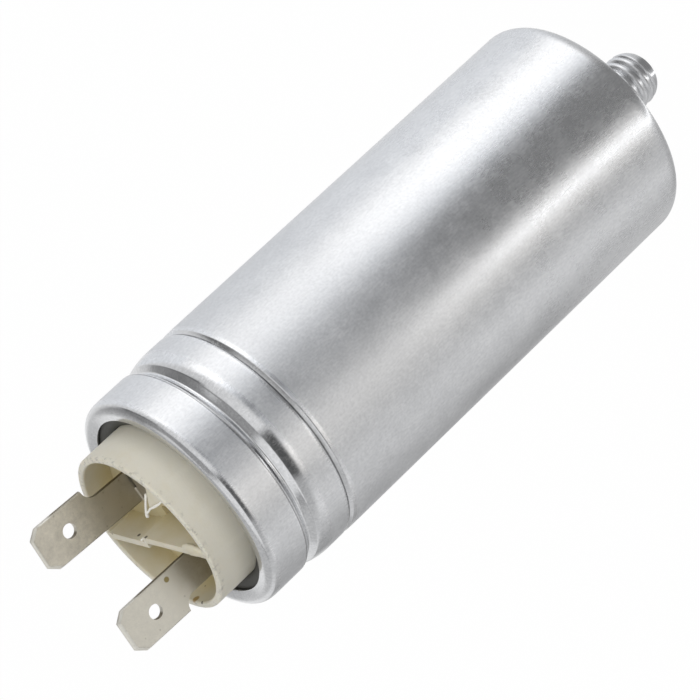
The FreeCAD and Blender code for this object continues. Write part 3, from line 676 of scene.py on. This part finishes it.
class CAPACITOR_OT_deck(bpy.types.Operator):
    """Soften the edges of the moulded deck and add what the mould left on it"""
    bl_idname = "capacitor.deck"
    bl_label = "Terminal deck"

    def execute(self, context):
        sizes = context.scene.capacitor_deck
        ivory = polyester_moulded(tuple(sizes.outside), tuple(sizes.inside))
        moulding = merged_copy("terminal_cup")
        # only what shows above the seal is softened
        seal = 79.0
        sharp = [edge for edge in moulding.edges
                 if len(edge.link_faces) == 2 and edge.calc_face_angle() > math.radians(32)
                 and min(vert.co.z for vert in edge.verts) > seal]
        bmesh.ops.bevel(moulding, geom=sharp, offset=sizes.edge / MM, offset_type="OFFSET", segments=2,
                        profile=0.5, affect="EDGES", material=-1, clamp_overlap=True)
        place_piece(moulding, "deck_moulding", ivory, "terminal_cup", sharp=40)
        place_piece(weld_lump(), "partition_weld_lump", ivory, None, sharp=80)
        white = plain_finish("polyester_flash_white", "#F2F0E8", 0.0, 0.4, 0.2, 0.01)
        place_piece(flash_loop(), "flash_thread", white, None, sharp=80)
        return {"FINISHED"}


class CAPACITOR_OT_ring(bpy.types.Operator):
    """Make the rubber ring, squeezed up between the lip and the cup"""
    bl_idname = "capacitor.ring"
    bl_label = "Sealing ring"

    def execute(self, context):
        sizes = context.scene.capacitor_deck
        low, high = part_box("sealing_ring")
        outer = high.x / MM
        bottom = low.z / MM
        top = high.z / MM
        rise = sizes.ring_bulge / MM
        inner = 12.47
        corners = [
            (inner, bottom, 0, 0),
            (outer, bottom, 0, 0),
            (outer, top - 0.1, 0, 0),
            (13.8, top - 0.12 + rise, 0.3, 4),
            (12.9, top - 0.42 + rise, 0.3, 4),
            (inner, top - 0.62, 0.1, 3),
            (inner, bottom, 0, 0),
        ]
        rubber = plain_finish("rubber_moulded_black", "#474744", 0.0, 0.55, 0.35, 0.03, 0.25)
        place_piece(spun(corners, 160), "squeezed_ring", rubber, "sealing_ring", sharp=60)
        return {"FINISHED"}


class CAPACITOR_OT_tabs(bpy.types.Operator):
    """Finish the terminal tabs, their rivets and the solder tags under the floor"""
    bl_idname = "capacitor.tabs"
    bl_label = "Tabs and rivets"

    def execute(self, context):
        sizes = context.scene.capacitor_deck
        tin = brass_tinned(tuple(sizes.tin), tuple(sizes.stain_and_shade))
        for name in ("solder_tag_1", "solder_tag_2"):
            dress(name, tin)
        for name, mount in (("terminal_tab_1", MOUNTS["tab_1"]), ("terminal_tab_2", MOUNTS["tab_2"])):
            blade = merged_copy(name)
            taper_tip(blade, Vector(mount["pos_m"]) / MM, Vector(mount["axis"]), sizes.lead_in / MM)
            place_piece(blade, name + "_blade", tin, name, sharp=35)
        brass = plain_finish("brass_rivet_tinned", "#A8A294", 1.0, 0.45, 0.5, 0.02)
        for name in ("rivet_1", "rivet_2"):
            dress(name, brass)
        return {"FINISHED"}


class CAPACITOR_OT_inside(bpy.types.Operator):
    """Finish the pieces sealed inside the can"""
    bl_idname = "capacitor.inside"
    bl_label = "Inside of the can"

    def execute(self, context):
        # nodes, then name, colour, metallic, roughness, grain and depth of their finish
        finishes = (
            (("winding",), ("film_metallised_wound", "#C9C9CC", 0.6, 0.25, 0.8, 0.01)),
            (("winding_core", "base_insulator"), ("polypropylene_moulded", "#E2E1DA", 0.0, 0.4, 0.6, 0.02)),
            (("end_spray_top", "end_spray_bottom"), ("zinc_flame_sprayed", "#8C8D8F", 1.0, 0.7, 0.2, 0.08)),
            (("insulating_liner",), ("polyester_film_clear", "#E4E3DB", 0.0, 0.2, 1.5, 0.01)),
            (("potting_resin",), ("polyurethane_resin_cast", "#5C4A30", 0.0, 0.22, 2.0, 0.02)),
            (("lead_1", "lead_2"), ("copper_wire_tinned", "#C9C6BE", 1.0, 0.3, 0.3, 0.01)),
            (("lead_sleeve_1", "lead_sleeve_2"), ("tubing_extruded_white", "#E0DDD2", 0.0, 0.45, 0.5, 0.01)),
        )
        for names, finish in finishes:
            material = plain_finish(*finish)
            for name in names:
                dress(name, material)
        return {"FINISHED"}


def bearing_of(tree, way):
    """The bearing of a split direction, counted from the camera's side towards +X, as 0 at -180 degrees
    to 1 at 180."""
    front = node(tree, "ShaderNodeMath", {"operation": "MULTIPLY", 1: -1.0}, {0: way.outputs["Y"]})
    turn = node(tree, "ShaderNodeMath", {"operation": "ARCTAN2"}, {0: way.outputs["X"], 1: front})
    return node(tree, "ShaderNodeMapRange", {"From Min": -math.pi, "From Max": math.pi}, {"Value": turn})


def stops_by_bearing(levels):
    """Ramp stops from pairs of a bearing in degrees and a level."""
    return [((angle + 180) / 360, level) for angle, level in levels]


def flat_sheet(name, size, height):
    """A level square for the stage, by its half size and height in metres: its object and mesh."""
    sheet = bmesh.new()
    bmesh.ops.create_grid(sheet, x_segments=1, y_segments=1, size=size)
    bmesh.ops.translate(sheet, vec=(0, 0, height), verts=sheet.verts)
    mesh = bpy.data.meshes.new(name)
    sheet.to_mesh(mesh)
    sheet.free()
    item = bpy.data.objects.new(name, mesh)
    bpy.context.scene.collection.objects.link(item)
    return item, mesh


def lay_card(name, level, bearings, near, far, height):
    """A card just above the floor that only reflections show: its level, its share by bearing in degrees
    from the camera's side, and the distances in metres from the can over which it fades out."""
    card, mesh = flat_sheet(name, 0.3, height)
    material, tree = new_material(name)
    place = node(tree, "ShaderNodeTexCoord").outputs["Object"]
    split = node(tree, "ShaderNodeSeparateXYZ", links={"Vector": place})
    wedge = node(tree, "ShaderNodeValToRGB", {"stops": stops_by_bearing(bearings)},
                 {"Fac": bearing_of(tree, split)})
    away = node(tree, "ShaderNodeVectorMath", {"operation": "LENGTH"}, {0: place})
    fade = node(tree, "ShaderNodeMapRange",
                {"From Min": far, "From Max": near, "interpolation_type": "SMOOTHSTEP"}, {"Value": away})
    share = node(tree, "ShaderNodeMath", {"operation": "MULTIPLY"}, {0: wedge, 1: fade})
    clear = node(tree, "ShaderNodeBsdfTransparent")
    glow = node(tree, "ShaderNodeEmission", {"Color": linear("#FFFFFF"), "Strength": level})
    cover = node(tree, "ShaderNodeMixShader", links={0: share, 1: clear, 2: glow})
    node(tree, "ShaderNodeOutputMaterial", links={"Surface": cover})
    mesh.materials.append(material)
    card.visible_camera = False
    card.visible_diffuse = False
    card.visible_shadow = False
    card.visible_transmission = False


def seen_white(tree):
    """1 for the rays that see the plain white backdrop, straight or through glass, and 0 for the rest."""
    rays = node(tree, "ShaderNodeLightPath")
    return node(tree, "ShaderNodeMath", {"operation": "MAXIMUM"},
                {0: rays.outputs["Is Camera Ray"], 1: rays.outputs["Is Transmission Ray"]})


def lay_floor(height):
    """The pale floor under the tip of the stud: white for the camera, paper with a shadow for the rest."""
    floor, mesh = flat_sheet("studio_floor", 3.0, height)
    paper, tree = new_material("paper_sweep_white")
    pale = node(tree, "ShaderNodeBsdfDiffuse", {"Color": linear("#E6E6E4")})
    white = node(tree, "ShaderNodeEmission", {"Color": linear("#FFFFFF"), "Strength": 1.0})
    # a little of the paper shows through the white, and with it the shadow
    share = node(tree, "ShaderNodeMath", {"operation": "MULTIPLY", 1: 0.99}, {0: seen_white(tree)})
    cover = node(tree, "ShaderNodeMixShader", links={0: share, 1: pale, 2: white})
    node(tree, "ShaderNodeOutputMaterial", links={"Surface": cover})
    mesh.materials.append(paper)
    # metal shows the tent and the cards instead of the floor
    floor.visible_glossy = False


def hang_tent(strength):
    """The light tent: plain white for the camera, light and dark walls round the object for the rest,
    metal among them, so that reflections have shape."""
    world = bpy.data.worlds.new("light_tent")
    bpy.context.scene.world = world
    world.use_nodes = True
    tree = world.node_tree
    tree.nodes.clear()
    way = node(tree, "ShaderNodeSeparateXYZ",
               links={"Vector": node(tree, "ShaderNodeTexCoord").outputs["Generated"]})
    bearing = bearing_of(tree, way)
    # bearing, level, and 1 for a warm or -1 for a cool wall
    walls = [(-180, 1.0, 0), (-160, 0.58, 0), (-150, 0.39, 0), (-130, 0.48, 0), (-110, 0.68, 0),
             (-90, 0.9, 0), (-70, 0.8, 0), (-58, 0.61, 0), (-48, 0.9, 1), (-38, 1.12, 1), (-32, 1.22, 1),
             (-26, 1.22, 1), (-18, 0.9, 0), (-8, 0.7, 0), (0, 0.6, -1), (10, 0.45, -1), (18, 0.34, -1),
             (26, 0.45, -1), (34, 0.72, -1), (44, 1.25, -1), (60, 1.7, 0), (76, 1.6, 0), (86, 1.25, 0),
             (98, 1.05, -1), (120, 0.98, -1), (150, 0.86, -1), (165, 0.9, 0), (180, 1.0, 0)]
    more_red = 0.02
    less_blue = 0.03
    walls = [(angle, (level * (1 + more_red * tint), level, level * (1 - less_blue * tint), 1))
             for angle, level, tint in walls]
    tent = node(tree, "ShaderNodeValToRGB", {"stops": stops_by_bearing(walls)}, {"Fac": bearing})
    # above the walls, each from a low to a high edge of the direction's upward component: dark gaps at
    # the height of the horizon, then a roof that is brighter on the left than on the right
    layers = (
        (-0.13, -0.03, [(-180, 1.0), (-130, 0.8), (-90, 0.6), (-56, 0.5), (-48, 0.1), (-8, 0.1), (0, 0.95),
                        (60, 0.8), (110, 0.8), (180, 1.0)]),
        (0.1, 0.16, [(-180, 1.0), (-130, 0.8), (-90, 0.6), (-56, 0.5), (-48, 0.1), (-8, 0.12), (2, 0.95),
                     (58, 0.8), (68, 0.12), (106, 0.12), (120, 0.6), (180, 1.0)]),
        (0.26, 0.36, [(-180, 0.6), (-160, 0.6), (-105, 0.6), (-93, 0.35), (-84, 0.95), (-14, 0.95), (0, 0.36),
                      (66, 0.36), (106, 0.25), (140, 0.4), (180, 0.6)]),
        (0.75, 0.88, [(-180, 0.5), (-105, 0.6), (-93, 0.35), (-84, 0.95), (-14, 0.95), (0, 0.38), (64, 0.38),
                      (76, 1.0), (120, 0.7), (160, 0.45), (180, 0.5)]))
    for low_edge, high_edge, panels in layers:
        band = node(tree, "ShaderNodeValToRGB", {"stops": stops_by_bearing(panels)}, {"Fac": bearing})
        above = node(tree, "ShaderNodeMapRange",
                     {"From Min": low_edge, "From Max": high_edge, "interpolation_type": "SMOOTHSTEP"},
                     {"Value": way.outputs["Z"]})
        tent = node(tree, "ShaderNodeMix", {"data_type": "RGBA"}, {0: above, 6: tent, 7: band})
    # the ground right under the object lies in its shade
    shade = 0.62
    below = node(tree, "ShaderNodeMapRange",
                 {"From Min": -0.6, "From Max": -0.95, "interpolation_type": "SMOOTHSTEP"},
                 {"Value": way.outputs["Z"]})
    inside = node(tree, "ShaderNodeMix", {"data_type": "RGBA", 7: (shade, shade, shade, 1)},
                  {0: below, 6: tent})
    backdrop = node(tree, "ShaderNodeBackground", {"Color": linear("#FFFFFF"), "Strength": 1.0})
    lit = node(tree, "ShaderNodeBackground", {"Strength": strength}, {"Color": inside})
    mixed = node(tree, "ShaderNodeMixShader", links={0: seen_white(tree), 1: lit, 2: backdrop})
    node(tree, "ShaderNodeOutputWorld", links={"Surface": mixed})


def aim_camera():
    """The camera looks down on the standing can and is rolled, so that the can lies across the picture."""
    lens = bpy.data.cameras.new("view")
    lens.sensor_width = 36.0
    lens.lens = 177.588
    lens.clip_start = 0.02
    lens.clip_end = 20.0
    camera = bpy.data.objects.new("view", lens)
    bpy.context.scene.collection.objects.link(camera)
    bpy.context.scene.camera = camera
    tilt = math.radians(23.759)
    roll = math.radians(133.309)
    ahead = Vector((0, math.cos(tilt), -math.sin(tilt)))
    level = Vector((1, 0, 0))
    over = Vector((0, math.sin(tilt), math.cos(tilt)))
    across = math.cos(roll) * level - math.sin(roll) * over
    upward = math.sin(roll) * level + math.cos(roll) * over
    turn = Matrix((across, upward, -ahead)).transposed()
    aim = Vector((-0.000558, 0, 0.048734))
    distance = 0.448476
    camera.location = aim - ahead * distance
    camera.rotation_euler = turn.to_euler()


class CAPACITOR_OT_studio(bpy.types.Operator):
    """Set the floor, the light tent, the soft light, the cards and the camera"""
    bl_idname = "capacitor.studio"
    bl_label = "Studio"

    def execute(self, context):
        settings = context.scene.capacitor_studio
        context.scene.view_settings.view_transform = "Standard"
        low = CAD_BOX[0].z
        lay_floor(low)
        hang_tent(settings.world_level)
        # one large soft light above, from the front right, which metal doesn't show
        lamp = bpy.data.lights.new("key_softbox", "AREA")
        lamp.shape = "RECTANGLE"
        lamp.size = 0.5
        lamp.size_y = 0.4
        lamp.energy = settings.key_power
        key = bpy.data.objects.new("key_softbox", lamp)
        context.scene.collection.objects.link(key)
        key.location = (0.2, -0.32, 0.38)
        aim = Vector((0, 0, 0.08)) - key.location
        key.rotation_euler = aim.to_track_quat("-Z", "Y").to_euler()
        key.visible_glossy = False
        # three cards for reflections, each at a height of its own, since at one height they would clash
        step = 0.2 * MM
        dark = ((-75, 0.0), (-60, 0.3), (-48, 0.25), (-37, 0.0), (-25, 0.0), (-15, 0.9), (-10, 1.0),
                (20, 1.0), (36, 0.0))
        bright = ((-34, 0.0), (-31.5, 1.0), (-28.5, 1.0), (-26, 0.0))
        side = ((-178, 0.0), (-160, 1.0), (-105, 1.0), (-92, 0.0))
        lay_card("card_dark", 0.27, dark, 0.132, 0.165, low + step)
        lay_card("card_bright", 2.3, bright, 0.112, 0.132, low + 2 * step)
        lay_card("card_side", 0.66, side, 0.055, 0.092, low + 3 * step)
        aim_camera()
        return {"FINISHED"}


class CAPACITOR_PT_panel(bpy.types.Panel):
    """Sizes, colours and steps of the capacitor"""
    bl_idname = "CAPACITOR_PT_panel"
    bl_label = "Motor run capacitor"
    bl_space_type = "VIEW_3D"
    bl_region_type = "UI"
    bl_category = "Capacitor"

    def draw(self, context):
        column = self.layout.column()
        scene = context.scene
        for group, steps in ((scene.capacitor_can, ("can", "stud")),
                             (scene.capacitor_deck, ("deck", "ring", "tabs", "inside")),
                             (scene.capacitor_studio, ("studio",))):
            for name in group.bl_rna.properties.keys():
                if name not in ("rna_type", "name"):
                    column.prop(group, name)
            for step in steps:
                column.operator("capacitor." + step)


CLASSES = (CanSizes, DeckSizes, StudioSettings, CAPACITOR_OT_can, CAPACITOR_OT_stud, CAPACITOR_OT_deck,
           CAPACITOR_OT_ring, CAPACITOR_OT_tabs, CAPACITOR_OT_inside, CAPACITOR_OT_studio, CAPACITOR_PT_panel)


def register():
    for item in CLASSES:
        bpy.utils.register_class(item)
    bpy.types.Scene.capacitor_can = bpy.props.PointerProperty(type=CanSizes)
    bpy.types.Scene.capacitor_deck = bpy.props.PointerProperty(type=DeckSizes)
    bpy.types.Scene.capacitor_studio = bpy.props.PointerProperty(type=StudioSettings)


def unregister():
    del bpy.types.Scene.capacitor_studio
    del bpy.types.Scene.capacitor_deck
    del bpy.types.Scene.capacitor_can
    for item in reversed(CLASSES):
        bpy.utils.unregister_class(item)


def main():
    register()
    bpy.ops.capacitor.studio()
    bpy.ops.capacitor.can()
    bpy.ops.capacitor.stud()
    bpy.ops.capacitor.deck()
    bpy.ops.capacitor.ring()
    bpy.ops.capacitor.tabs()
    bpy.ops.capacitor.inside()


if __name__ == "__main__":
    main()
